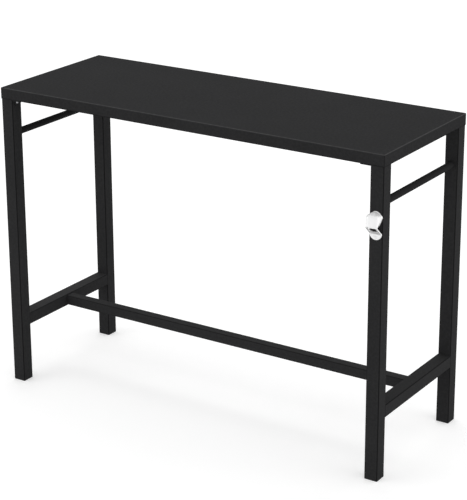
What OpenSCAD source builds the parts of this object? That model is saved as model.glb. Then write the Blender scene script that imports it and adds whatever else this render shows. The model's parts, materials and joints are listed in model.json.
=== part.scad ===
// Outdoor bar table: a folded steel tabletop on two welded side frames, joined low down by a footrest bar.
// X runs left to right, Y front to back and Z up. The origin is on the floor, midway between the four feet.

/* [Table] */
// Length of the tabletop, left to right
top_l = 1372; // [1000:1:1800]
// Depth of the tabletop, front to back
top_d = 510; // [400:1:700]
// Height of the top surface above the floor
table_h = 1000; // [850:1:1150]

/* [Tabletop] */
// Thickness of the folded steel sheet
sheet_t = 1.2; // [0.8:0.1:2]
// Height of the folded edge, from the top surface down
skirt_h = 36; // [35:1:60]
// Outer radius of the sheet's folds and corners
fold_r = 2.5; // [2.2:0.1:4]
// Width of the lip folded in under the edge, between the legs
lip_w = 25; // [22:1:32]
// Width of each cross brace under the sheet
brace_w = 20; // [15:1:30]
// Height of each cross brace
brace_h = 30; // [20:1:32]
// Wall of the cross braces
brace_t = 1.2; // [1:0.1:2]
// Outer corner radius of the cross braces
brace_r = 2; // [2:0.5:3]
// Distance from the middle brace to each outer one
brace_pitch = 340; // [200:1:400]

/* [Side frames] */
// Width of the square leg tube
leg_w = 43; // [30:1:60]
// Wall of the leg tube
leg_t = 1.5; // [1:0.1:2]
// Outer corner radius of the leg tube
leg_r = 2.5; // [2.5:0.5:5]
// Gap between the legs and the tabletop's folded edge
fit_gap = 0.2; // [0.1:0.1:0.8]
// Side of the square bar that joins the leg tops
top_bar_w = 30; // [20:1:32]
// Wall of the bar that joins the leg tops
top_bar_t = 1.2; // [1:0.1:2]
// Outer corner radius of the bar that joins the leg tops
top_bar_r = 2; // [2:0.5:3]
// Width of the low stretcher, side to side
stretcher_w = 43; // [30:1:50]
// Height of the low stretcher
stretcher_h = 40; // [30:1:50]
// Wall of the stretcher
stretcher_t = 1.5; // [1:0.1:2]
// Outer corner radius of the stretcher
stretcher_r = 2.5; // [2.5:0.5:5]
// Height of the stretcher's centre above the floor
stretcher_z = 210; // [120:1:350]
// Diameter of the round hanging rail
rail_d = 22; // [12:1:25]
// Wall of the hanging rail
rail_t = 1.2; // [1:0.1:2]
// Distance from the top surface down to the hanging rail's centre
rail_drop = 153; // [80:1:300]

/* [Footrest] */
// Side of the square footrest bar
footrest_w = 33; // [25:1:38]
// Wall of the footrest bar
footrest_t = 1.5; // [1:0.1:2]
// Outer corner radius of the footrest bar
footrest_r = 2.5; // [2.2:0.1:4]
// Gap at each end of the footrest bar
footrest_gap = 0.4; // [0.2:0.1:0.8]
// Gap all round between the footrest bar and the stub inside it
stub_gap = 0.3; // [0.2:0.1:0.6]
// Wall of the stub
stub_t = 2; // [1.5:0.1:3]
// Outer corner radius of the stub
stub_r = 2.2; // [2.2:0.1:3.5]
// Length of the stub
stub_l = 60; // [40:1:100]
// Distance from the stretcher to the footrest screw
stub_screw_x = 38; // [20:1:45]

/* [Feet] */
// Thickness of the foot plug's flange under the tube
foot_t = 3; // [2:0.5:10]
// Height of the foot plug inside the tube
plug_h = 20; // [10:1:40]
// Wall of the foot plug inside the tube
plug_t = 2.5; // [2:0.1:4]
// Gap all round between the foot plug and the tube
plug_gap = 0.2; // [0.1:0.1:0.4]

/* [Corner brackets] */
// Thickness of the bracket
bracket_t = 3; // [2.5:0.5:4]
// Distance from the leg's faces to the sides of the bracket's arm under the tabletop
bracket_inset = 0.5; // [0.5:0.5:4]
// Length of that arm
bracket_l = 33; // [29:1:45]
// Width of the bracket's tab on the leg, which is round at its lower end
tab_w = 24; // [18:1:30]
// Distance from the tabletop's lower edge down to the leg bolt
leg_bolt_drop = 10; // [9.5:0.5:13]
// Distance from the leg to the tabletop bolt
top_bolt_x = 20; // [17:0.5:23]
// Distance from the tabletop's outer edge to the tabletop bolt
top_bolt_y = 13; // [11:0.5:15]

/* [Fasteners] */
// Diameter of the frame bolts
bolt_d = 6; // [5:1:8]
// Diameter of a frame bolt's head
bolt_head_d = 10.5; // [10:0.5:12]
// Height of a frame bolt's head
bolt_head_h = 3.3; // [2:0.1:4]
// Length of the frame bolts
bolt_l = 12; // [12:1:25]
// Width of a frame bolt's hexagon socket
bolt_socket = 4; // [3:0.5:5]
// Extra diameter of a bolt hole
bolt_play = 0.6; // [0.4:0.1:1]
// Extra diameter of a thread over its bolt
thread_play = 0.1; // [0.05:0.05:0.2]
// Width across the flats of a frame nut
nut_af = 10; // [10:0.5:13]
// Height of a frame nut
nut_h = 5; // [4:0.1:7]
// Outer diameter of a rivet nut in a leg
insert_d = 9; // [8.5:0.1:11]
// Diameter of the collar that a rivet nut forms behind the wall
insert_collar_d = 12; // [11:0.5:14]
// Length of that collar
insert_collar_h = 3; // [2:0.5:5]
// Length of a rivet nut
insert_l = 14; // [12:1:18]

/* [Bottle opener] */
// Distance from the top surface down to the opener's mouth
opener_drop = 210; // [120:1:400]
// Width of the upper plate across its shoulders
head_w = 42; // [40:1:46]
// Radius of the upper plate's top
head_r = 16.5; // [15:0.5:19]
// Radius of its shoulders
shoulder_r = 6.5; // [5:0.5:8]
// Distance from the mouth up to the shoulders
head_y = 27; // [25:0.5:29]
// Radius of the lower plate
chin_r = 20; // [19.5:0.5:23]
// Distance from the mouth down to the middle of the lower plate
chin_y = 22; // [21:0.5:23]
// Height over which the lower plate narrows to the neck
chin_taper = 10; // [6:0.5:14]
// Width at which the plates end at the neck
neck_w = 22; // [18:1:26]
// Width of the neck itself
waist_w = 16; // [14:1:18]
// Thickness of the plates
plate_t = 3; // [2.8:0.1:3.5]
// How far the hood stands out from the leg
hood_out = 33; // [31:0.5:36]
// Wall of the hood
hood_wall = 3; // [2.5:0.1:3.5]
// Width across the hood's lip and the tips of the jaw
jaw_w = 38; // [36:1:39]
// Thickness of the jaw
jaw_t = 4; // [3:0.1:4.2]
// Distance from the mouth down to the root of the jaw
jaw_y = 22; // [21:0.5:22.5]
// Width of the jaw's gap, for a bottle's neck
neck_gap = 28; // [27:0.5:29]
// Length of the straight part of that gap
gap_l = 9; // [5:0.5:11]
// Diameter of the opener's screws
screw_d = 5; // [4:0.5:5]
// Diameter of an opener screw's head
screw_head_d = 9; // [8:0.5:9.5]
// Height of an opener screw's head
screw_head_h = 2.5; // [2:0.1:2.5]
// Length of an opener screw
screw_l = 14; // [12:1:16]
// Outer diameter of the opener's rivet nuts
screw_insert_d = 7; // [6.8:0.1:8]
// Diameter of the collar of the opener's rivet nuts
screw_collar_d = 9.5; // [8.5:0.5:11]
// Distance from the mouth up to the upper screw
upper_screw = 14; // [12:0.5:18]
// Distance from the mouth down to the lower screw
lower_screw = 32; // [31.5:0.5:34]

/* [Hidden] */

steel = [0.035, 0.035, 0.037];
plastic = [0.02, 0.02, 0.02];
zinc = [0.62, 0.62, 0.64];
chrome = [0.86, 0.87, 0.88];

under_sheet = table_h - sheet_t;
under_edge = table_h - skirt_h;
leg_x = top_l / 2 - sheet_t - fit_gap - leg_w / 2;
leg_y = top_d / 2 - sheet_t - fit_gap - leg_w / 2;
leg_in_x = leg_x - leg_w / 2;
leg_in_y = leg_y - leg_w / 2;
rail_z = table_h - rail_drop;
opener_z = table_h - opener_drop;
bolt_hole_d = bolt_d + bolt_play;
thread_d = bolt_d + thread_play;
leg_bolt_z = under_edge - leg_bolt_drop;
top_bolt = [leg_in_x - top_bolt_x, top_d / 2 - top_bolt_y];
stub_w = footrest_w - 2 * footrest_t - 2 * stub_gap;
stretcher_in_x = leg_x - stretcher_w / 2;
stub_screw_at = stretcher_in_x - stub_screw_x;
footrest_l = 2 * (stretcher_in_x - footrest_gap);
insert_hole_d = insert_d + thread_play;
screw_hole_d = screw_d + bolt_play;
past = 1; // how far a cut runs past the face that it starts from
crown_r = 10; // roundness of the hood's crown
brow_r = 11; // roundness of the hood's brow
brow_back = 3; // how far the brow lies behind the nose
neck_r = 3; // roundness of the upper plate where it ends in the neck
rim = 2.5; // how far the plate stands out around the foot of the hood
lip_r = 5; // roundness of the hood's lip
lip_back = 2; // how far the ends of the lip lie behind the nose
root_r = 2; // roundness of the hollow where it meets the plate
jaw_sink = 2; // how far the jaw's root goes into the lower plate
slot = [5, 1, 1.2]; // length, width and depth of a screw's cross slot
jaw_reach = hood_out - lip_r - plate_t;
root_w = 2 * chin_r - 1; // width of the jaw at its root
jaw_l = norm([jaw_y + 1, jaw_reach]);
jaw_tilt = atan2(jaw_reach, jaw_y + 1);
screw_thread_d = screw_d + thread_play;
screw_insert_hole_d = screw_insert_d + thread_play;
screw_zs = [opener_z + upper_screw, opener_z - lower_screw];

// Puts what was modelled at the right-hand back corner at another corner
module corner(sx, sy) {
    mirror([sx < 0 ? 1 : 0, 0, 0]) mirror([0, sy < 0 ? 1 : 0, 0]) children();
}

module every_corner() {
    for (sx = [-1, 1], sy = [-1, 1]) corner(sx, sy) children();
}

module round_rect(w, d, r) {
    square([w - 2 * r, d], center = true);
    square([w, d - 2 * r], center = true);
    for (sx = [-1, 1], sy = [-1, 1]) translate([sx * (w / 2 - r), sy * (d / 2 - r)]) circle(r = r, $fn = 32);
}

// A straight length of square or oblong tube, standing on Z = 0
module tube(w, d, wall, r, length) {
    linear_extrude(length) difference() {
        round_rect(w, d, r);
        round_rect(w - 2 * wall, d - 2 * wall, r - wall);
    }
}

// The same tube lying along Y, or along X, with its middle at the origin
module tube_y(w, h, wall, r, length) {
    rotate([90, 0, 0]) translate([0, 0, -length / 2]) tube(w, h, wall, r, length);
}

module tube_x(w, h, wall, r, length) {
    rotate([0, 0, 90]) tube_y(w, h, wall, r, length);
}

// A bolt pointing down from Z = 0, with its button head above
module bolt() {
    cap_r = (pow(bolt_head_d / 2, 2) + pow(bolt_head_h, 2)) / (2 * bolt_head_h);
    difference() {
        union() {
            translate([0, 0, -bolt_l]) cylinder(d = bolt_d, h = bolt_l + bolt_head_h / 3, $fn = 32);
            intersection() {
                translate([0, 0, bolt_head_h - cap_r]) sphere(r = cap_r, $fn = 48);
                cylinder(r = cap_r, h = bolt_head_h + past, $fn = 48);
            }
        }
        translate([0, 0, bolt_head_h / 3]) cylinder(d = bolt_socket / cos(30), h = bolt_head_h, $fn = 6);
    }
}

// A hexagon nut standing on Z = 0
module nut() {
    difference() {
        cylinder(d = nut_af / cos(30), h = nut_h, $fn = 6);
        translate([0, 0, -past]) cylinder(d = thread_d, h = nut_h + 2 * past, $fn = 32);
    }
}

// A rivet nut whose mouth is at Z = 0 and whose body runs down through a wall
module insert(body_d, collar_d, bore_d, wall) {
    difference() {
        union() {
            translate([0, 0, -insert_l]) cylinder(d = body_d, h = insert_l, $fn = 48);
            translate([0, 0, -wall - insert_collar_h]) cylinder(d = collar_d, h = insert_collar_h, $fn = 48);
        }
        translate([0, 0, -insert_l - past]) cylinder(d = bore_d, h = insert_l + 2 * past, $fn = 32);
    }
}

// Places things on the inner face of a right-hand leg, pointing into the table
module on_leg_bolt() {
    translate([leg_in_x, leg_y, leg_bolt_z]) rotate([0, -90, 0]) children();
}

// Places things on the front face of the leg that carries the opener, pointing forwards
module on_opener_leg(z) {
    translate([leg_x, -leg_y - leg_w / 2, z]) rotate([90, 0, 0]) children();
}

// A slab with round upright corners and round upper edges, standing on Z = 0
module round_slab(l, d, h, r) {
    linear_extrude(h - r) round_rect(l, d, r);
    translate([0, 0, h / 2]) cube([l - 2 * r, d - 2 * r, h], center = true);
    for (s = [-1, 1]) {
        translate([0, s * (d / 2 - r), h - r]) rotate([0, 90, 0])
            cylinder(r = r, h = l - 2 * r, center = true, $fn = 32);
        translate([s * (l / 2 - r), 0, h - r]) rotate([90, 0, 0])
            cylinder(r = r, h = d - 2 * r, center = true, $fn = 32);
        for (t = [-1, 1]) translate([s * (l / 2 - r), t * (d / 2 - r), h - r]) sphere(r = r, $fn = 32);
    }
}

module tabletop() {
    inner_l = top_l - 2 * sheet_t;
    inner_d = top_d - 2 * sheet_t;
    inner_r = fold_r - sheet_t;
    color(steel) difference() {
        translate([0, 0, under_edge]) round_slab(top_l, top_d, skirt_h, fold_r);
        // The hollow above the lips
        translate([0, 0, under_edge + sheet_t])
            linear_extrude(skirt_h - 2 * sheet_t) round_rect(inner_l, inner_d, inner_r);
        // The opening inside the lips
        translate([0, 0, under_edge - past])
            linear_extrude(sheet_t + 2 * past) square([top_l - 2 * lip_w, top_d - 2 * lip_w], center = true);
        // The corners where the legs come up past the lips
        every_corner() translate([leg_in_x, leg_in_y, under_edge - past])
            linear_extrude(sheet_t + 2 * past) square([inner_l / 2 - leg_in_x, inner_d / 2 - leg_in_y]);
        every_corner() translate([top_bolt.x, top_bolt.y, under_edge - past])
            cylinder(d = bolt_hole_d, h = sheet_t + 2 * past, $fn = 32);
    }
}

module brace(side) {
    color(steel) translate([side * brace_pitch, 0, under_sheet - brace_h / 2])
        tube_y(brace_w, brace_h, brace_t, brace_r, top_d - 2 * sheet_t);
}

module leg(sx, sy) {
    color(steel) corner(sx, sy) difference() {
        translate([leg_x, leg_y, foot_t]) tube(leg_w, leg_w, leg_t, leg_r, under_sheet - foot_t);
        on_leg_bolt() cylinder(d = insert_hole_d, h = 2 * (leg_t + past), center = true, $fn = 48);
    }
}

// The leg that carries the bottle opener has its two screw holes as well
module opener_leg() {
    color(steel) difference() {
        leg(1, -1);
        for (z = screw_zs) on_opener_leg(z)
            cylinder(d = screw_insert_hole_d, h = 2 * (leg_t + past), center = true, $fn = 48);
    }
}

module top_bar(sx) {
    color(steel) translate([sx * leg_x, 0, under_sheet - top_bar_w / 2])
        tube_y(top_bar_w, top_bar_w, top_bar_t, top_bar_r, 2 * leg_in_y);
}

module stretcher(sx) {
    color(steel) translate([sx * leg_x, 0, stretcher_z])
        tube_y(stretcher_w, stretcher_h, stretcher_t, stretcher_r, 2 * leg_in_y);
}

module hanging_rail(sx) {
    color(steel) translate([sx * leg_x, 0, rail_z]) rotate([90, 0, 0]) difference() {
        cylinder(d = rail_d, h = 2 * leg_in_y, center = true, $fn = 64);
        cylinder(d = rail_d - 2 * rail_t, h = 2 * (leg_in_y + past), center = true, $fn = 64);
    }
}

module footrest_bar() {
    color(steel) difference() {
        translate([0, 0, stretcher_z]) tube_x(footrest_w, footrest_w, footrest_t, footrest_r, footrest_l);
        for (sx = [-1, 1]) translate([sx * stub_screw_at, 0, stretcher_z - footrest_w / 2 - past])
            cylinder(d = bolt_hole_d, h = footrest_t + 2 * past, $fn = 32);
    }
}

module footrest_stub(sx) {
    color(steel) difference() {
        translate([sx * (stretcher_in_x - stub_l / 2), 0, stretcher_z])
            tube_x(stub_w, stub_w, stub_t, stub_r, stub_l);
        translate([sx * stub_screw_at, 0, stretcher_z - stub_w / 2 - past])
            cylinder(d = bolt_hole_d, h = stub_t + 2 * past, $fn = 32);
    }
}

module footrest_bolts() {
    color(zinc) for (sx = [-1, 1])
        translate([sx * stub_screw_at, 0, stretcher_z - footrest_w / 2]) rotate([180, 0, 0]) bolt();
}

module footrest_nuts() {
    color(zinc) for (sx = [-1, 1])
        translate([sx * stub_screw_at, 0, stretcher_z - stub_w / 2 + stub_t]) nut();
}

module foot(sx, sy) {
    plug_w = leg_w - 2 * leg_t - 2 * plug_gap;
    plug_r = leg_r - leg_t;
    color(plastic) corner(sx, sy) translate([leg_x, leg_y, 0]) {
        linear_extrude(foot_t) round_rect(leg_w, leg_w, leg_r);
        linear_extrude(foot_t + plug_h) difference() {
            round_rect(plug_w, plug_w, plug_r);
            square(plug_w - 2 * plug_t, center = true);
        }
    }
}

module bracket(sx, sy) {
    arm_w = leg_w - 2 * bracket_inset;
    color(steel) corner(sx, sy) difference() {
        union() {
            translate([leg_in_x - bracket_l, leg_y - arm_w / 2, under_edge - bracket_t])
                cube([bracket_l, arm_w, bracket_t]);
            on_leg_bolt() linear_extrude(bracket_t) difference() {
                union() {
                    circle(d = tab_w, $fn = 64);
                    translate([tab_w / 2, 0]) square(tab_w, center = true);
                }
                translate([leg_bolt_drop - bracket_t / 2, -tab_w]) square(2 * tab_w);
            }
        }
        on_leg_bolt() translate([0, 0, -past]) cylinder(d = bolt_hole_d, h = bracket_t + 2 * past, $fn = 32);
        translate([top_bolt.x, top_bolt.y, under_edge - bracket_t - past])
            cylinder(d = bolt_hole_d, h = bracket_t + 2 * past, $fn = 32);
    }
}

module leg_bolts() {
    color(zinc) every_corner() on_leg_bolt() translate([0, 0, bracket_t]) bolt();
}

module leg_inserts() {
    color(zinc) every_corner() on_leg_bolt() insert(insert_d, insert_collar_d, thread_d, leg_t);
}

module tabletop_bolts() {
    color(zinc) every_corner()
        translate([top_bolt.x, top_bolt.y, under_edge - bracket_t]) rotate([180, 0, 0]) bolt();
}

module tabletop_nuts() {
    color(zinc) every_corner() translate([top_bolt.x, top_bolt.y, under_edge + sheet_t]) nut();
}

// The opener is cast in one piece. In its own frame X is across, Y runs up and Z stands out from the leg.
module opener_head(inset) {
    hull() {
        translate([0, head_y]) circle(r = head_r - inset, $fn = 96);
        for (s = [-1, 1]) {
            translate([s * (head_w / 2 - shoulder_r), head_y]) circle(r = shoulder_r - inset, $fn = 48);
            translate([s * (neck_w / 2 - neck_r), 0]) circle(r = neck_r - inset, $fn = 24);
        }
    }
}

module opener_plates() {
    linear_extrude(plate_t) {
        opener_head(0);
        translate([0, -chin_y]) {
            intersection() {
                circle(r = chin_r, $fn = 96);
                translate([0, -chin_r / 2]) square([2 * chin_r, chin_r], center = true);
            }
            polygon([[-chin_r, 0], [chin_r, 0], [neck_w / 2, chin_taper], [-neck_w / 2, chin_taper]]);
        }
        translate([0, (head_y - chin_y) / 2]) square([waist_w, head_y + chin_y], center = true);
    }
}

module ball(x, y, z, r) {
    translate([x, y, z]) sphere(r = r, $fn = 24);
}

// The crown, brow, nose and lip of the hood, drawn in by the inset
module hood_balls(inset) {
    for (a = [45:30:135])
        ball((head_r - crown_r) * cos(a), head_y + (head_r - crown_r) * sin(a), crown_r, crown_r - inset);
    for (s = [-1, 1]) {
        ball(s * (head_w / 2 - crown_r), head_y, crown_r, crown_r - inset);
        ball(s * (head_w / 2 - brow_r), head_y, hood_out - brow_r - brow_back, brow_r - inset);
        ball(s * lip_r, lip_r, hood_out - lip_r, lip_r - inset);
        ball(s * (jaw_w / 2 - lip_r), lip_r, hood_out - lip_r - lip_back, lip_r - inset);
    }
}

// The hood swells out from the upper plate. It is hollow and open below, and its lip hangs over the mouth.
module opener_hood() {
    difference() {
        hull() {
            translate([0, 0, plate_t / 2]) linear_extrude(plate_t / 2) opener_head(rim);
            hood_balls(0);
        }
        hull() {
            hood_balls(hood_wall);
            for (s = [-1, 1]) {
                ball(s * (jaw_w / 2 - lip_r), -lip_r, hood_out - 2 * lip_r, lip_r - hood_wall);
                ball(s * (neck_w / 2 - root_r), -lip_r, plate_t + root_r, root_r);
            }
        }
    }
}

// The jaw slants up and out from the lower plate to the two ends of the lip
module opener_jaw() {
    translate([0, -jaw_y, plate_t]) rotate([jaw_tilt, 0, 0])
        linear_extrude(jaw_t, center = true) difference() {
            polygon([[-root_w / 2, -jaw_sink], [root_w / 2, -jaw_sink],
                [jaw_w / 2, jaw_l], [-jaw_w / 2, jaw_l]]);
            translate([0, jaw_l - gap_l]) circle(d = neck_gap, $fn = 64);
            translate([-neck_gap / 2, jaw_l - gap_l]) square([neck_gap, gap_l + past]);
        }
}

// A screw's cone, which is also the shape of its seat
module screw_cone() {
    translate([0, 0, plate_t - screw_head_h])
        cylinder(d1 = screw_d, d2 = screw_head_d, h = screw_head_h, $fn = 48);
}

module bottle_opener() {
    color(chrome) difference() {
        on_opener_leg(opener_z) {
            opener_plates();
            opener_hood();
            opener_jaw();
        }
        for (z = screw_zs) on_opener_leg(z) {
            translate([0, 0, -past]) cylinder(d = screw_hole_d, h = plate_t + 2 * past, $fn = 32);
            screw_cone();
        }
    }
}

module opener_screws() {
    color(chrome) for (z = screw_zs) on_opener_leg(z) difference() {
        union() {
            translate([0, 0, plate_t - screw_l])
                cylinder(d = screw_d, h = screw_l - screw_head_h / 2, $fn = 32);
            screw_cone();
        }
        for (a = [0, 90]) rotate([0, 0, a]) translate([0, 0, plate_t])
            cube([slot.x, slot.y, 2 * slot.z], center = true);
    }
}

module opener_inserts() {
    color(zinc) for (z = screw_zs) on_opener_leg(z)
        insert(screw_insert_d, screw_collar_d, screw_thread_d, leg_t);
}

tabletop();
brace(-1);  // brace_left
brace(0);  // brace_middle
brace(1);  // brace_right
leg(-1, -1);  // leg_front_left
opener_leg();  // leg_front_right
leg(-1, 1);  // leg_back_left
leg(1, 1);  // leg_back_right
top_bar(-1);  // top_bar_left
top_bar(1);  // top_bar_right
stretcher(-1);  // stretcher_left
stretcher(1);  // stretcher_right
hanging_rail(-1);  // hanging_rail_left
hanging_rail(1);  // hanging_rail_right
footrest_bar();
footrest_stub(-1);  // footrest_stub_left
footrest_stub(1);  // footrest_stub_right
footrest_bolts();
footrest_nuts();
foot(-1, -1);  // foot_front_left
foot(1, -1);  // foot_front_right
foot(-1, 1);  // foot_back_left
foot(1, 1);  // foot_back_right
bracket(-1, -1);  // bracket_front_left
bracket(1, -1);  // bracket_front_right
bracket(-1, 1);  // bracket_back_left
bracket(1, 1);  // bracket_back_right
leg_bolts();
leg_inserts();
tabletop_bolts();
tabletop_nuts();
bottle_opener();
opener_screws();
opener_inserts();
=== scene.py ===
import json
import math

import bmesh
import bpy
from mathutils import Matrix, Vector
from mathutils.bvhtree import BVHTree


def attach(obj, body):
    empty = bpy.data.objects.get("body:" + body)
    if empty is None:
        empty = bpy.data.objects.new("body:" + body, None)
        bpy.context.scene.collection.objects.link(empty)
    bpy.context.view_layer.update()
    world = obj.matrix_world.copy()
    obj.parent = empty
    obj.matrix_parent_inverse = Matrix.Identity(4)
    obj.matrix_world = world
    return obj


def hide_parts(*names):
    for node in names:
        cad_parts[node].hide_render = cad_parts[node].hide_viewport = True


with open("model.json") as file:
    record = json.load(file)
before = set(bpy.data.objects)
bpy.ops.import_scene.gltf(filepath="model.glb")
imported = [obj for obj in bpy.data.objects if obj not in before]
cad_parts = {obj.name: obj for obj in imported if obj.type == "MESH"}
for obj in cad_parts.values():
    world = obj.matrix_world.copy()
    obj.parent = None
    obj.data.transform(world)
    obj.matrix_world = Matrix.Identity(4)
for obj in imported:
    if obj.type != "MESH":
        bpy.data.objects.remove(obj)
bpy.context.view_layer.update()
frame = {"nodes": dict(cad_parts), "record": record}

scene = bpy.context.scene
scene.view_settings.view_transform = "Standard"
mm = 0.001
nearlyNothing = 0.001       # millimetres

camera = {
    "place": (2.8621, -4.3447, 2.4070), "turn": (71.923, 0.237, 33.086),    # metres, degrees
    "focus": 1756.7, "middle": (233.5, 190.0), "picture": (467, 500),       # pixels
    "film": 36.0, "sight": 200.0,                                           # millimetres, metres
}


def addCamera(c):
    width, height = c["picture"]
    data = bpy.data.cameras.new("camera")
    data.sensor_width = c["film"]
    data.lens = c["film"] * c["focus"] / height
    data.shift_x = (width / 2 - c["middle"][0]) / height
    data.shift_y = (c["middle"][1] - height / 2) / height
    data.clip_end = c["sight"]
    thing = bpy.data.objects.new("camera", data)
    thing.location = c["place"]
    thing.rotation_euler = [math.radians(angle) for angle in c["turn"]]
    scene.collection.objects.link(thing)
    scene.camera = thing


addCamera(camera)
print("camera is up")


class Wire:     # an output socket, so that sums on it become Math nodes
    def __init__(self, paint, socket):
        self.paint, self.socket = paint, socket

    def sum(self, operation, *values):
        return self.paint.node("ShaderNodeMath", {"operation": operation}, dict(enumerate(values)))

    def __add__(self, other):
        return self.sum("ADD", self, other)

    def __sub__(self, other):
        return self.sum("SUBTRACT", self, other)

    def __rsub__(self, other):
        return self.sum("SUBTRACT", other, self)

    def __mul__(self, other):
        return self.sum("MULTIPLY", self, other)

    def __truediv__(self, other):
        return self.sum("DIVIDE", self, other)

    def __pow__(self, other):
        return self.sum("POWER", self, other)

    def __abs__(self):
        return self.sum("ABSOLUTE", self)

    def atMost(self, other):
        return self.sum("MINIMUM", self, other)

    def atLeast(self, other):
        return self.sum("MAXIMUM", self, other)

    __radd__, __rmul__ = __add__, __mul__


class Paint:    # a material, or the world, being put together
    def __init__(self, owner):
        self.owner = owner
        self.owner.use_nodes = True
        self.tree = self.owner.node_tree
        self.shader = self.tree.nodes.get("Principled BSDF")

    def node(self, kind, settings=None, sockets=None, out=0):
        made = self.tree.nodes.new(kind)
        for key, value in (settings or {}).items():
            if key == "stops":
                while len(made.color_ramp.elements) < len(value):
                    made.color_ramp.elements.new(1.0)
                for element, (place, grey) in zip(made.color_ramp.elements, value):
                    element.position, element.color = place, (grey, grey, grey, 1.0)
            else:
                setattr(made, key, value)
        self.fill(made, sockets or {})
        return Wire(self, made.outputs[out])

    def fill(self, made, sockets):
        for key, value in sockets.items():
            if isinstance(value, Wire):
                self.tree.links.new(value.socket, made.inputs[key])
            else:
                made.inputs[key].default_value = value

    def place(self):
        return self.node("ShaderNodeTexCoord", out="Object")

    def parts(self, vector):
        first = self.node("ShaderNodeSeparateXYZ", {}, {0: vector})
        return [Wire(self, socket) for socket in first.socket.node.outputs]

    def grain(self, place, scale, detail=2.0, rough=0.5):
        return self.node("ShaderNodeTexNoise", {}, {
            "Vector": place, "Scale": scale, "Detail": detail, "Roughness": rough,
        })

    def ramp(self, value, *stops):
        return self.node("ShaderNodeValToRGB", {"stops": stops}, {"Fac": value})

    def blend(self, share, first, second):
        sockets = {"Factor": share, 6: first, 7: second}
        return self.node("ShaderNodeMix", {"data_type": "RGBA"}, sockets, out=2)

    def bump(self, height, depth, strength=1.0, under=None):
        sockets = {"Height": height, "Distance": depth, "Strength": strength}
        if under:
            sockets["Normal"] = under
        return self.node("ShaderNodeBump", {}, sockets)


def newPaint(name):
    return Paint(bpy.data.materials.new(name))


# grain sizes are in lumps per metre and depths in metres
coatLook = {
    "colour": (0.0228, 0.0228, 0.0235, 1.0), "pale": (0.0330, 0.0330, 0.0339, 1.0),
    # next line: the colour for painted shade, then the paler one for painted light
    "shadeColour": (0.0070, 0.0070, 0.0072, 1.0), "litColour": (0.0500, 0.0500, 0.0510, 1.0),
    "roughness": 0.78, "litRoughness": 0.60, "specular": 0.03,
    "cloud": 7.0, "cloudStops": ((0.35, 0.0), (0.70, 1.0)), "cloudShare": 0.35, "cloudRough": 0.14,
    "mottle": 130.0, "mottleStops": ((0.40, 0.0), (0.62, 1.0)), "mottleShare": 0.45,
    "speck": 1500.0, "speckStops": ((0.62, 0.0), (0.72, 1.0)), "speckShare": 0.40,
    "speckDepth": 0.00001, "speckStrength": 0.6,
    "peel": 420.0, "peelDepth": 0.00003, "peelRough": 0.06,
    "shadeLeast": 0.75, "shadeCloud": 0.30, "lightGrain": 60.0, "lightLeast": 0.35,
}


def powderCoat(name, look, shade=None, paintedLight=None):
    paint = newPaint(name)
    here = paint.place()
    x, y, z = paint.parts(here)
    cloud = paint.grain(here, look["cloud"], 4.0, 0.55)
    peel = paint.grain(here, look["peel"], 2.0)
    speck = paint.grain(here, look["speck"], 1.0)
    mottle = paint.grain(here, look["mottle"], 2.0, 0.6)
    cloudy = paint.ramp(cloud, *look["cloudStops"]) * look["cloudShare"]
    mottled = paint.ramp(mottle, *look["mottleStops"]) * look["mottleShare"]
    specky = paint.ramp(speck, *look["speckStops"]) * look["speckShare"]
    colour = paint.blend((cloudy + mottled + specky).atMost(1.0), look["colour"], look["pale"])
    rough = look["roughness"] + (cloud - 0.5) * look["cloudRough"] + (peel - 0.5) * look["peelRough"]
    # painted shade: the colour goes darker where the shade mask is
    if shade:
        uneven = look["shadeLeast"] + cloud * look["shadeCloud"]
        colour = paint.blend(shade(x, y, z) * uneven, colour, look["shadeColour"])
    # painted light: the colour goes paler and the coat smoother where the light mask is
    if paintedLight:
        lightened = paintedLight(x, y, z) * (look["lightLeast"] + paint.grain(here, look["lightGrain"], 3.0))
        colour = paint.blend(lightened, colour, look["litColour"])
        rough = rough - lightened * (look["roughness"] - look["litRoughness"])
    peeled = paint.bump(peel, look["peelDepth"])
    paint.fill(paint.shader, {
        "Base Color": colour, "Roughness": rough, "Specular IOR Level": look["specular"],
        "Normal": paint.bump(speck, look["speckDepth"], look["speckStrength"], peeled),
    })
    return paint.owner


# where shade and light are painted on the coat: painted shade on the round corners of the tubes and along
# the top's lower fold and corners, a painted highlight along the top's upper fold; in metres
edges = {
    "legX": 0.6631, "legY": 0.2321, "barHeight": 0.210,
    "legFrom": 0.0402, "legTo": 0.0414, "lowFrom": 0.0387, "lowTo": 0.0399,
    "footFrom": 0.0301, "footTo": 0.0314,
    "topX": 0.6860, "topY": 0.2550, "topZ": 1.0, "lowZ": 0.964, "fold": 0.0028, "foldTop": 0.0006,
}
# heights are above the middle of the bar; the painted light on the stretchers' tops gets fainter towards the
# right end
litBars = {
    "footrestTopFrom": 0.0150, "footrestTopTo": 0.0163, "footrestTopLight": 0.15, "footrestAllOver": 0.16,
    "barTopLightFrom": 0.0185, "barTopLightTo": 0.0198, "barTopLight": 0.32, "barTopLightFade": 0.34,
}


def rise(value, low, high):     # 0 below low, 1 above high
    return ((value - low) / (high - low)).atLeast(0.0).atMost(1.0)


# painted shade: darker round corners on the legs
def legCornerShade(x, y, z):
    out = abs(abs(x) - edges["legX"]) + abs(abs(y) - edges["legY"])
    return rise(out, edges["legFrom"], edges["legTo"])


# painted shade: darker round corners on the stretchers
def stretcherCornerShade(x, y, z):
    out = abs(abs(x) - edges["legX"]) + abs(z - edges["barHeight"])
    return rise(out, edges["lowFrom"], edges["lowTo"])


# painted shade: darker round corners on the footrest bar
def footrestCornerShade(x, y, z):
    return rise(abs(y) + abs(z - edges["barHeight"]), edges["footFrom"], edges["footTo"])


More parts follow.
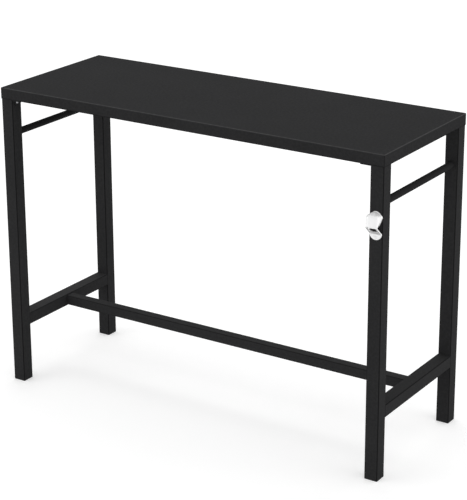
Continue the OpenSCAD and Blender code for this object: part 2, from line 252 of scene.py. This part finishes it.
def footrestLight(x, y, z):      # painted light: paler all over, and paler still on the top face
    middle = edges["barHeight"]
    upper = rise(z, middle + litBars["footrestTopFrom"], middle + litBars["footrestTopTo"])
    return upper * litBars["footrestTopLight"] + litBars["footrestAllOver"]


# painted light: the stretchers' top faces go paler, fading towards the right end
def barTopLight(x, y, z):
    middle = edges["barHeight"]
    upper = rise(z, middle + litBars["barTopLightFrom"], middle + litBars["barTopLightTo"])
    return upper * (litBars["barTopLight"] - x * litBars["barTopLightFade"])


# painted highlight: a paler line along the top's upper fold
def topFoldHighlight(x, y, z):
    out = rise(abs(x), edges["topX"] - edges["fold"], edges["topX"]).atLeast(
        rise(abs(y), edges["topY"] - edges["fold"], edges["topY"]))
    return rise(z, edges["topZ"] - edges["fold"], edges["topZ"] - edges["foldTop"]) * out


# painted shade: darker along the skirt's lower fold and up its upright corners
def lowRimShade(x, y, z):
    upright = rise(abs(x), edges["topX"] - edges["fold"], edges["topX"]) * rise(
        abs(y), edges["topY"] - edges["fold"], edges["topY"])
    return (1.0 - rise(z, edges["lowZ"], edges["lowZ"] + edges["fold"])).atLeast(upright)


plasticLook = {
    "colour": (0.010, 0.010, 0.0105, 1.0), "pale": (0.016, 0.016, 0.0165, 1.0),
    "roughness": 0.55, "specular": 0.35, "cloud": 18.0, "cloudRough": 0.15,
    "leather": 700.0, "leatherDepth": 0.00003, "leatherSoft": 0.6,
}


def mouldedPlastic(name, look):
    paint = newPaint(name)
    here = paint.place()
    cells = paint.node("ShaderNodeTexVoronoi", {"feature": "SMOOTH_F1"}, {
        "Vector": here, "Scale": look["leather"], "Smoothness": look["leatherSoft"],
    })
    cloud = paint.grain(here, look["cloud"], 3.0)
    paint.fill(paint.shader, {
        "Base Color": paint.blend(cloud, look["colour"], look["pale"]),
        "Roughness": look["roughness"] + (cloud - 0.5) * look["cloudRough"],
        "Specular IOR Level": look["specular"],
        "Normal": paint.bump(cells, look["leatherDepth"]),
    })
    return paint.owner


zincLook = {
    "colour": (0.30, 0.30, 0.31, 1.0), "pale": (0.42, 0.42, 0.43, 1.0), "roughness": 0.40,
    "spangle": 520.0, "spangleRough": 0.18, "brushing": 2400.0, "brushingDepth": 0.00001,
}


def zincPlate(name, look):
    paint = newPaint(name)
    here = paint.place()
    spangle = paint.grain(here, look["spangle"], 3.0)
    brushing = paint.grain(here, look["brushing"], 1.0)
    paint.fill(paint.shader, {
        "Base Color": paint.blend(spangle, look["colour"], look["pale"]),
        "Metallic": 1.0,
        "Roughness": look["roughness"] + (spangle - 0.5) * look["spangleRough"],
        "Normal": paint.bump(brushing, look["brushingDepth"]),
    })
    return paint.owner


chromeLook = {
    "colour": (0.92, 0.925, 0.93, 1.0), "pale": (0.98, 0.98, 0.98, 1.0), "shadeColour": (0.02, 0.02, 0.021, 1.0),
    "roughness": 0.34, "metallic": 0.28, "paintedShadeRough": 0.30,
    "ripple": 95.0, "rippleDepth": 0.0002, "rippleStrength": 0.5,
    "haze": 260.0, "hazeRough": 0.07, "fine": 1900.0, "fineRough": 0.02,
}


def castChrome(name, look):     # painted shade: where the piece's own attribute says, the chrome goes darker and rougher
    paint = newPaint(name)
    here = paint.place()
    ripple = paint.grain(here, look["ripple"], 2.0)
    haze = paint.grain(here, look["haze"], 3.0)
    fine = paint.grain(here, look["fine"], 2.0)
    gloom = paint.node("ShaderNodeAttribute", {"attribute_name": "gloom"}, out="Fac")
    bright = paint.blend(haze, look["colour"], look["pale"])
    rough = look["roughness"] + (haze - 0.5) * look["hazeRough"] + (fine - 0.5) * look["fineRough"]
    paint.fill(paint.shader, {
        "Base Color": paint.blend(gloom, bright, look["shadeColour"]),
        "Metallic": gloom * (1.0 - look["metallic"]) + look["metallic"],
        "Roughness": rough + gloom * look["paintedShadeRough"],
        "Normal": paint.bump(ripple, look["rippleDepth"], look["rippleStrength"]),
    })
    return paint.owner


# the top's coat: less sheen, and a brighter colour for the painted highlight along its upper fold
topLook = dict(coatLook, specular=0.015, litColour=(0.090, 0.090, 0.091, 1.0))
# the rails' coat is a darker copy of the same coat: painted shade under the top
shadedRailLook = dict(coatLook, colour=(0.0170, 0.0170, 0.0175, 1.0), pale=(0.0215, 0.0215, 0.0220, 1.0))

coatPaint = powderCoat("powderCoat", coatLook)
plasticPaint = mouldedPlastic("footPlastic", plasticLook)
zincPaint = zincPlate("zincPlate", zincLook)
chromePaint = castChrome("castChrome", chromeLook)

finishes = {
    "powder_coat": coatPaint, "foot_plastic": plasticPaint, "zinc": zincPaint, "chrome": chromePaint,
}
coats = {       # the coated nodes whose names start so have a coat of their own
    "tabletop": powderCoat("powderCoatTop", topLook, lowRimShade, topFoldHighlight),
    "leg": powderCoat("powderCoatLegs", coatLook, legCornerShade),
    "stretcher": powderCoat("powderCoatStretchers", coatLook, stretcherCornerShade, barTopLight),
    "footrest_bar": powderCoat("powderCoatFootrest", coatLook, footrestCornerShade, footrestLight),
    "hanging_rail": powderCoat("powderCoatRails", shadedRailLook),
}
print("materials are mixed")


def finishOf(name, slot):
    if slot == "powder_coat":
        for start, coat in coats.items():
            if name.startswith(start):
                return coat
    return finishes[slot]


for row in frame["record"]["subparts"]:
    for slot in frame["nodes"][row["node"]].material_slots:
        slot.link = "OBJECT"
        slot.material = finishOf(row["node"], row["material_slot"])
print("CAD nodes are painted")


# a finished bmesh, in millimetres, becomes a piece; edges bent by more than the angle stay sharp
def standUp(bm, name, paint, angle, replaced=()):
    bmesh.ops.remove_doubles(bm, verts=bm.verts, dist=nearlyNothing)
    bmesh.ops.scale(bm, vec=(mm, mm, mm), verts=bm.verts)
    for face in bm.faces:
        face.smooth = True
    for edge in bm.edges:
        edge.smooth = len(edge.link_faces) == 2 and edge.calc_face_angle() < math.radians(angle)
    mesh = bpy.data.meshes.new(name)
    bm.to_mesh(mesh)
    bm.free()
    mesh.materials.append(paint)
    piece = bpy.data.objects.new(name, mesh)
    scene.collection.objects.link(piece)
    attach(piece, "root")
    if replaced:
        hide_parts(*replaced)
    return piece


def settle(thing):      # the mesh of an object with its modifiers applied
    seen = thing.evaluated_get(bpy.context.evaluated_depsgraph_get())
    mesh = bpy.data.meshes.new_from_object(seen)
    thing.modifiers.clear()
    return mesh


def scratchObject(bm, name):
    mesh = bpy.data.meshes.new(name)
    bm.to_mesh(mesh)
    bm.free()
    thing = bpy.data.objects.new(name, mesh)
    scene.collection.objects.link(thing)
    return thing


def takeBack(thing):        # the bmesh of a scratch object, which goes
    bm = bmesh.new()
    bm.from_mesh(thing.data)
    bpy.data.objects.remove(thing)
    return bm


def addTo(bm, part):
    mesh = bpy.data.meshes.new("part")
    part.to_mesh(mesh)
    part.free()
    bm.from_mesh(mesh)


def cutAway(thing, cutter):
    tool = thing.modifiers.new("cut", "BOOLEAN")
    tool.operation, tool.object, tool.solver = "DIFFERENCE", cutter, "EXACT"
    thing.data = settle(thing)
    bpy.data.objects.remove(cutter)


# the bottle opener, in millimetres in its own frame: x across, y up from the mouth, z out from the leg
openerCast = {
    "legX": 663.1, "legFace": -253.6, "mouthHeight": 790.0,
    "headWide": 42.0, "headRadius": 16.5, "shoulder": 6.5, "headUp": 27.0, "rim": 2.5,
    "chinRadius": 20.0, "chinDown": 22.0, "chinTaper": 10.0,
    "neckWide": 22.0, "neckRound": 3.0, "waist": 16.0, "plate": 3.0, "plateEdge": 0.9,
    "out": 33.0, "wall": 3.0, "crown": 10.0, "crownTurns": (45, 75, 105, 135),
    "brow": 11.0, "browBack": 3.0, "lip": 5.0, "lipBack": 2.0, "root": 2.0,
    "jawWide": 38.0, "rootWide": 39.0, "jawThick": 4.0, "jawDown": 22.0, "jawRise": 1.0, "jawSink": 2.0,
    "jawEdge": 0.8, "gapWide": 28.0, "gapLong": 9.0,
    "screws": (14.0, -32.0), "screwHead": 9.3, "screwStem": 5.6, "headDeep": 2.6, "headOver": 0.02,
    "voxel": 0.6, "crumb": 1000, "softening": 5, "soften": 0.5, "folded": 0.6, "sharp": 60.0,
    "ringSides": 64, "ballSides": 40, "ballBands": 20, "seatSides": 48,
    # where shade is painted: near the hollow's skin, in front of the plate, up and in from the jaw's ends
    "shadeSkin": 0.7, "shadeOut": 1.0, "shadeUp": 1.5, "shadeEnd": 2.0, "jawShade": 0.45, "jawShadeUp": 1.0,
    "jawSide": 0.7,
}


def ball(bm, o, at, radius):
    bmesh.ops.create_uvsphere(bm, u_segments=o["ballSides"], v_segments=o["ballBands"], radius=radius,
                              matrix=Matrix.Translation(at))


def shrinkWrap(bm):     # leaves only the convex skin round what is in the bmesh
    made = bmesh.ops.convex_hull(bm, input=bm.verts)
    loose = made["geom_interior"] + made["geom_unused"]
    bmesh.ops.delete(bm, geom=list({g for g in loose if isinstance(g, bmesh.types.BMVert)}), context="VERTS")
    skin = {g for g in made["geom"] if isinstance(g, bmesh.types.BMFace) and g.is_valid}
    bmesh.ops.delete(bm, geom=[f for f in bm.faces if f not in skin], context="FACES_ONLY")
    bmesh.ops.recalc_face_normals(bm, faces=bm.faces)


def rings(bm, o, spots, *levels):      # each level has its height and how far it is drawn in
    for height, inset in levels:
        for x, y, radius in spots:
            bmesh.ops.create_circle(bm, segments=o["ringSides"], radius=radius - inset,
                                    matrix=Matrix.Translation((x, y, height)))


def headSpots(o):
    spots = [(0.0, o["headUp"], o["headRadius"])]
    for side in (-1, 1):
        spots.append((side * (o["headWide"] / 2 - o["shoulder"]), o["headUp"], o["shoulder"]))
        spots.append((side * (o["neckWide"] / 2 - o["neckRound"]), 0.0, o["neckRound"]))
    return spots


def castPlates(bm, o):
    levels = (0.0, 0.0), (o["plate"] - o["plateEdge"], 0.0), (o["plate"], o["plateEdge"])
    head = bmesh.new()
    rings(head, o, headSpots(o), *levels)
    shrinkWrap(head)

    chin = bmesh.new()
    rings(chin, o, [(0.0, -o["chinDown"], o["chinRadius"])], *levels)
    bmesh.ops.bisect_plane(chin, geom=chin.verts[:] + chin.edges[:], dist=nearlyNothing,
                           plane_co=(0, -o["chinDown"], 0), plane_no=(0, 1, 0), clear_outer=True)
    end = o["neckRound"]
    across, up = o["neckWide"] / 2 - end, o["chinTaper"] - o["chinDown"] - end / 2
    rings(chin, o, [(-across, up, end), (across, up, end)], *levels)
    shrinkWrap(chin)

    neck = bmesh.new()
    bmesh.ops.create_cube(neck, size=1.0)
    bmesh.ops.scale(neck, vec=(o["waist"], o["headUp"] + o["chinDown"], o["plate"]), verts=neck.verts)
    bmesh.ops.translate(neck, vec=(0, (o["headUp"] - o["chinDown"]) / 2, o["plate"] / 2), verts=neck.verts)
    outer = [e for e in neck.edges if min(v.co.z for v in e.verts) > o["plate"] / 2]
    bmesh.ops.bevel(neck, geom=outer, offset=o["plateEdge"], segments=2, profile=0.5, affect="EDGES",
                    material=-1)
    for part in (head, chin, neck):
        addTo(bm, part)


def hoodBalls(bm, o, inset):
    reach, side = o["headRadius"] - o["crown"], o["headWide"] / 2
    spots = [(reach * math.cos(turn), o["headUp"] + reach * math.sin(turn), o["crown"], o["crown"])
             for turn in map(math.radians, o["crownTurns"])]
    half = [(side - o["crown"], o["headUp"], o["crown"], o["crown"]),
            (side - o["brow"], o["headUp"], o["out"] - o["brow"] - o["browBack"], o["brow"]),
            (o["lip"], o["lip"], o["out"] - o["lip"], o["lip"]),
            (o["jawWide"] / 2 - o["lip"], o["lip"], o["out"] - o["lip"] - o["lipBack"], o["lip"])]
    for x, y, z, radius in spots + half + [(-x, y, z, radius) for x, y, z, radius in half]:
        ball(bm, o, (x, y, z), radius - inset)


def hollow(o):      # what is taken out of the hood
    bm = bmesh.new()
    hoodBalls(bm, o, o["wall"])
    for side in (-1, 1):
        tip, foot = o["jawWide"] / 2 - o["lip"], o["neckWide"] / 2 - o["root"]
        ball(bm, o, (side * tip, -o["lip"], o["out"] - 2 * o["lip"]), o["lip"] - o["wall"])
        ball(bm, o, (side * foot, -o["lip"], o["plate"] + o["root"]), o["root"])
    shrinkWrap(bm)
    return bm


def castHood(o):
    bm = bmesh.new()
    rings(bm, o, headSpots(o), (o["plate"] / 2, o["rim"]), (o["plate"], o["rim"]))
    hoodBalls(bm, o, 0.0)
    shrinkWrap(bm)
    hood = scratchObject(bm, "hood")
    cutAway(hood, scratchObject(hollow(o), "hollow"))
    return takeBack(hood)


def castJaw(o):     # a slanted plate that widens to its root, with a gap shaped like a U
    slant = Vector((o["jawDown"] + o["jawRise"], o["out"] - o["lip"] - o["plate"]))
    bm = bmesh.new()
    bmesh.ops.create_cube(bm, size=1.0)
    bmesh.ops.scale(bm, vec=(o["jawWide"], slant.length + o["jawSink"], o["jawThick"]), verts=bm.verts)
    bmesh.ops.translate(bm, vec=(0, (slant.length - o["jawSink"]) / 2, 0), verts=bm.verts)
    lowest = [v for v in bm.verts if v.co.y < 0]
    bmesh.ops.scale(bm, vec=(o["rootWide"] / o["jawWide"], 1, 1), verts=lowest)
    jaw = scratchObject(bm, "jaw")

    gap = bmesh.new()
    bottom, half = slant.length - o["gapLong"], o["gapWide"] / 2
    rings(gap, o, [(0.0, bottom, half), (0.0, bottom + 3 * o["gapLong"], half)],
          (-2 * o["jawThick"], 0.0), (2 * o["jawThick"], 0.0))
    shrinkWrap(gap)
    cutAway(jaw, scratchObject(gap, "gap"))

    bm = takeBack(jaw)
    corners = [e for e in bm.edges if e.calc_face_angle() > o["folded"]]
    bmesh.ops.bevel(bm, geom=corners, offset=o["jawEdge"], segments=3, profile=0.5, affect="EDGES",
                    material=-1)
    tilt = Matrix.Rotation(math.atan2(slant.y, slant.x), 3, "X")
    bmesh.ops.rotate(bm, cent=(0, 0, 0), matrix=tilt, verts=bm.verts)
    bmesh.ops.translate(bm, vec=(0, -o["jawDown"], o["plate"]), verts=bm.verts)
    return bm


def dropCrumbs(bm, fewest):     # the remesh leaves a few loose specks
    crumbs, seen = [], set()
    for start in bm.verts:
        if start in seen:
            continue
        island, edge = {start}, [start]
        while edge:
            near = {v for link in edge.pop().link_edges for v in link.verts} - island
            island |= near
            edge += near
        seen |= island
        if len(island) < fewest:
            crumbs += island
    bmesh.ops.delete(bm, geom=crumbs, context="VERTS")


def fuse(bm, o):        # one skin with softened corners, as in a casting
    cast = scratchObject(bm, "cast")
    remesh = cast.modifiers.new("fuse", "REMESH")
    remesh.mode, remesh.voxel_size = "VOXEL", o["voxel"]
    cast.data = settle(cast)
    bm = takeBack(cast)
    dropCrumbs(bm, o["crumb"])
    for _ in range(o["softening"]):
        bmesh.ops.smooth_vert(bm, verts=bm.verts, factor=o["soften"],
                              use_axis_x=True, use_axis_y=True, use_axis_z=True)
    return bm


def sinkScrews(bm, o):
    cast = scratchObject(bm, "cast")
    for up in o["screws"]:
        seat = bmesh.new()
        at = (0, up, o["plate"] - o["headDeep"] / 2 + o["headOver"])
        bmesh.ops.create_cone(seat, cap_ends=True, segments=o["seatSides"], radius1=o["screwStem"] / 2,
                              radius2=o["screwHead"] / 2, depth=o["headDeep"],
                              matrix=Matrix.Translation(at))
        cutAway(cast, scratchObject(seat, "seat"))
    return takeBack(cast)


def addPaintedShade(bm, o):        # painted shade on the inside of the hood and on the neck, and a fainter painted shade on the front of the jaw
    gloom = bm.verts.layers.float.new("gloom")
    inner = hollow(o)
    skin = BVHTree.FromBMesh(inner)
    inner.free()
    front = o["plate"] + o["shadeOut"]
    for v in bm.verts:
        x, y, z = v.co
        spot, out = skin.find_nearest(v.co)[:2]
        inHood = y > o["shadeUp"] and (v.co - spot).dot(out) < o["shadeSkin"]
        onNeck = (z < front and o["shadeEnd"] - o["jawDown"] < y < o["shadeUp"]
                  and abs(x) < o["chinRadius"] - o["shadeUp"])
        onJaw = z > front and y < o["jawShadeUp"] and abs(v.normal.x) < o["jawSide"]
        v[gloom] = 1.0 if inHood or onNeck else o["jawShade"] if onJaw else 0.0


def castOpener(o):
    hood = castHood(o)
    bm = castJaw(o)
    addTo(bm, hood)
    castPlates(bm, o)
    bm = sinkScrews(fuse(bm, o), o)
    addPaintedShade(bm, o)
    bmesh.ops.rotate(bm, cent=(0, 0, 0), matrix=Matrix.Rotation(math.radians(90), 3, "X"), verts=bm.verts)
    bmesh.ops.translate(bm, vec=(o["legX"], o["legFace"], o["mouthHeight"]), verts=bm.verts)
    standUp(bm, "openerCasting", chromePaint, o["sharp"], ["bottle_opener"])


castOpener(openerCast)
print("opener is cast")

# the weld beads round the ends of the tubes in each side frame, in millimetres
welds = {
    "across": 663.1, "face": 210.6, "proud": 0.3, "ripple": 0.16, "pitch": 1.9, "sharp": 60.0,
    "sides": 10, "turns": 48, "cuts": 40, "longest": 6.0,
    "joints": {     # height of the middle, half width, half height, corner, bead
        "rail": (847.0, 11.9, 11.9, 11.9, 1.5),
        "stretcher": (210.0, 19.6, 20.5, 3.0, 1.7),
        "topBar": (982.3, 15.3, 14.6, 2.4, 1.5),
    },
}


def addBead(bm, w, side, end, middle, halfWide, halfHigh, corner, bead):
    made = bmesh.new()
    quarter = Matrix.Rotation(math.radians(90), 3, "X")
    ring = bmesh.ops.create_circle(made, segments=w["sides"], radius=bead)["verts"]
    bmesh.ops.rotate(made, cent=(0, 0, 0), matrix=quarter, verts=ring)
    bmesh.ops.translate(made, vec=(corner, 0, 0), verts=ring)
    bmesh.ops.spin(made, geom=made.edges[:], cent=(0, 0, 0), axis=(0, 0, 1), angle=math.tau,
                   steps=w["turns"], use_merge=True)
    halfStep = Matrix.Rotation(math.tau / (2 * w["turns"]), 3, "Z")
    bmesh.ops.rotate(made, cent=(0, 0, 0), matrix=halfStep, verts=made.verts)
    for v in made.verts:    # the ring's four quarters move apart to the corners of the tube
        v.co.x += math.copysign(halfWide - corner, v.co.x)
        v.co.y += math.copysign(halfHigh - corner, v.co.y)
    for axis in (0, 1):
        long = [e for e in made.edges if abs(e.verts[0].co[axis] - e.verts[1].co[axis]) > w["longest"]]
        if long:
            bmesh.ops.subdivide_edges(made, edges=long, cuts=w["cuts"], use_grid_fill=True)
    for v in made.verts:    # the bead swells and shrinks along its path, as a welder leaves it
        inner = Vector((max(-halfWide + corner, min(halfWide - corner, v.co.x)),
                        max(-halfHigh + corner, min(halfHigh - corner, v.co.y)), 0))
        flat = Vector((v.co.x, v.co.y, 0)) - inner
        path = inner + flat.normalized() * corner
        along = path.x - path.y if corner < halfWide else math.atan2(path.y, path.x) * corner
        v.co = path + (v.co - path) * (1 - w["ripple"] * abs(math.cos(math.pi * along / w["pitch"])))
    bmesh.ops.recalc_face_normals(made, faces=made.faces)
    bmesh.ops.rotate(made, cent=(0, 0, 0), matrix=quarter, verts=made.verts)
    place = (side * w["across"], end * (w["face"] - w["proud"]), middle)
    bmesh.ops.translate(made, vec=place, verts=made.verts)
    addTo(bm, made)


def weldFrames(w):
    for name, side in (("Left", -1), ("Right", 1)):
        bm = bmesh.new()
        for joint in w["joints"].values():
            for end in (-1, 1):
                addBead(bm, w, side, end, *joint)
        standUp(bm, "weldBeads" + name, coatPaint, w["sharp"])


weldFrames(welds)
print("frames are welded")

# the moulded plug in the foot of each leg, in millimetres
footPlug = {
    "across": 663.1, "along": 232.1, "wide": 43.0, "corner": 2.5, "cornerSteps": 6, "sharp": 35.0,
    # width and height of each ring, from the shallow hollow in the sole, round the rim and up into the tube
    "rings": ((31.0, 0.8), (32.4, 0.0), (41.2, 0.0), (42.1, 0.12), (42.75, 0.42), (43.0, 0.9),
              (43.0, 2.6), (42.8, 3.0), (39.6, 3.0), (39.6, 22.4), (39.2, 22.85), (38.6, 23.0),
              (35.4, 23.0), (34.8, 22.6), (34.4, 3.6)),
    "legs": {"front_left": (-1, -1), "front_right": (1, -1), "back_left": (-1, 1), "back_right": (1, 1)},
}


def mouldPlug(f, leg, side, end):
    bm = bmesh.new()
    bmesh.ops.create_grid(bm, x_segments=1, y_segments=1, size=f["wide"] / 2)
    bmesh.ops.bevel(bm, geom=bm.verts[:], offset=f["corner"], segments=f["cornerSteps"], profile=0.5,
                    affect="VERTICES", material=-1)
    ring, width, verts = bm.edges[:], f["wide"], bm.verts[:]
    for number, (wide, height) in enumerate(f["rings"]):
        if number:
            made = bmesh.ops.extrude_edge_only(bm, edges=ring)["geom"]
            verts = [g for g in made if isinstance(g, bmesh.types.BMVert)]
            ring = [g for g in made if isinstance(g, bmesh.types.BMEdge) and set(g.verts) <= set(verts)]
        bmesh.ops.scale(bm, vec=(wide / width, wide / width, 1.0), verts=verts)
        for v in verts:
            v.co.z = height
        width = wide
    bmesh.ops.contextual_create(bm, geom=ring)
    bmesh.ops.recalc_face_normals(bm, faces=bm.faces)
    bmesh.ops.translate(bm, vec=(side * f["across"], end * f["along"], 0), verts=bm.verts)
    name = "footPlug" + leg.title().replace("_", "")
    standUp(bm, name, plasticPaint, f["sharp"], ["foot_" + leg])


for leg, (side, end) in footPlug["legs"].items():
    mouldPlug(footPlug, leg, side, end)
print("feet are in")


studio = {
    "skyForLight": 0.80, "skySeen": 1.0,
    "floorSize": 60.0, "floorWhite": 0.80,
    "nearGlow": 0.395, "farGlow": 0.50, "glowFrom": 2.0, "glowTo": 7.0,
    "lamps": {      # place, aim, side in metres, watts
        "softKey": ((-0.7, 1.1, 3.6), (0.0, 0.0, 0.6), 2.4, 18.0),
        "rightFill": ((4.2, 0.4, 1.6), (0.0, 0.0, 0.6), 2.4, 24.0),
        "frontFill": ((-3.7, -3.4, 1.4), (-0.5, 0.0, 0.5), 2.4, 31.0),
    },
}


def seenRays(paint):    # 1 for what the camera sees, also in metal and glass
    light = paint.tree.nodes.new("ShaderNodeLightPath")
    direct, glossy, clear = [Wire(paint, light.outputs["Is %s Ray" % kind])
                             for kind in ("Camera", "Glossy", "Transmission")]
    return direct.atLeast(glossy).atLeast(clear)


def addFloor(s):
    bm = bmesh.new()
    bmesh.ops.create_grid(bm, x_segments=1, y_segments=1, size=s["floorSize"])
    floor = scratchObject(bm, "floor")
    paint = newPaint("paleFloor")
    paint.tree.nodes.remove(paint.shader)
    x, y, z = paint.parts(paint.place())
    far = rise((x * x + y * y) ** 0.5, s["glowFrom"], s["glowTo"])
    glow = s["nearGlow"] + far * (s["farGlow"] - s["nearGlow"])
    white = (s["floorWhite"],) * 3 + (1.0,)
    matt = paint.node("ShaderNodeBsdfDiffuse", {}, {"Color": white})
    lit = paint.node("ShaderNodeEmission", {}, {"Strength": glow})
    seen = paint.node("ShaderNodeAddShader", {}, {0: matt, 1: lit})
    both = paint.node("ShaderNodeMixShader", {}, {0: seenRays(paint), 1: matt, 2: seen})
    paint.fill(paint.tree.nodes["Material Output"], {"Surface": both})
    floor.data.materials.append(paint.owner)


def addSky(s):
    scene.world = bpy.data.worlds.new("studio")
    paint = Paint(scene.world)
    paint.tree.nodes.clear()
    white = (1.0, 1.0, 1.0, 1.0)
    dim = paint.node("ShaderNodeBackground", {}, {"Color": white, "Strength": s["skyForLight"]})
    full = paint.node("ShaderNodeBackground", {}, {"Color": white, "Strength": s["skySeen"]})
    both = paint.node("ShaderNodeMixShader", {}, {0: seenRays(paint), 1: dim, 2: full})
    paint.fill(paint.tree.nodes.new("ShaderNodeOutputWorld"), {"Surface": both})


def addLamps(s):
    for name, (place, aim, side, watts) in s["lamps"].items():
        data = bpy.data.lights.new(name, "AREA")
        data.shape, data.size, data.energy = "SQUARE", side, watts
        lamp = bpy.data.objects.new(name, data)
        lamp.location = place
        lamp.rotation_euler = (Vector(aim) - Vector(place)).to_track_quat("-Z", "Y").to_euler()
        lamp.visible_camera = False
        scene.collection.objects.link(lamp)


addFloor(studio)
addSky(studio)
addLamps(studio)
print("studio is lit")
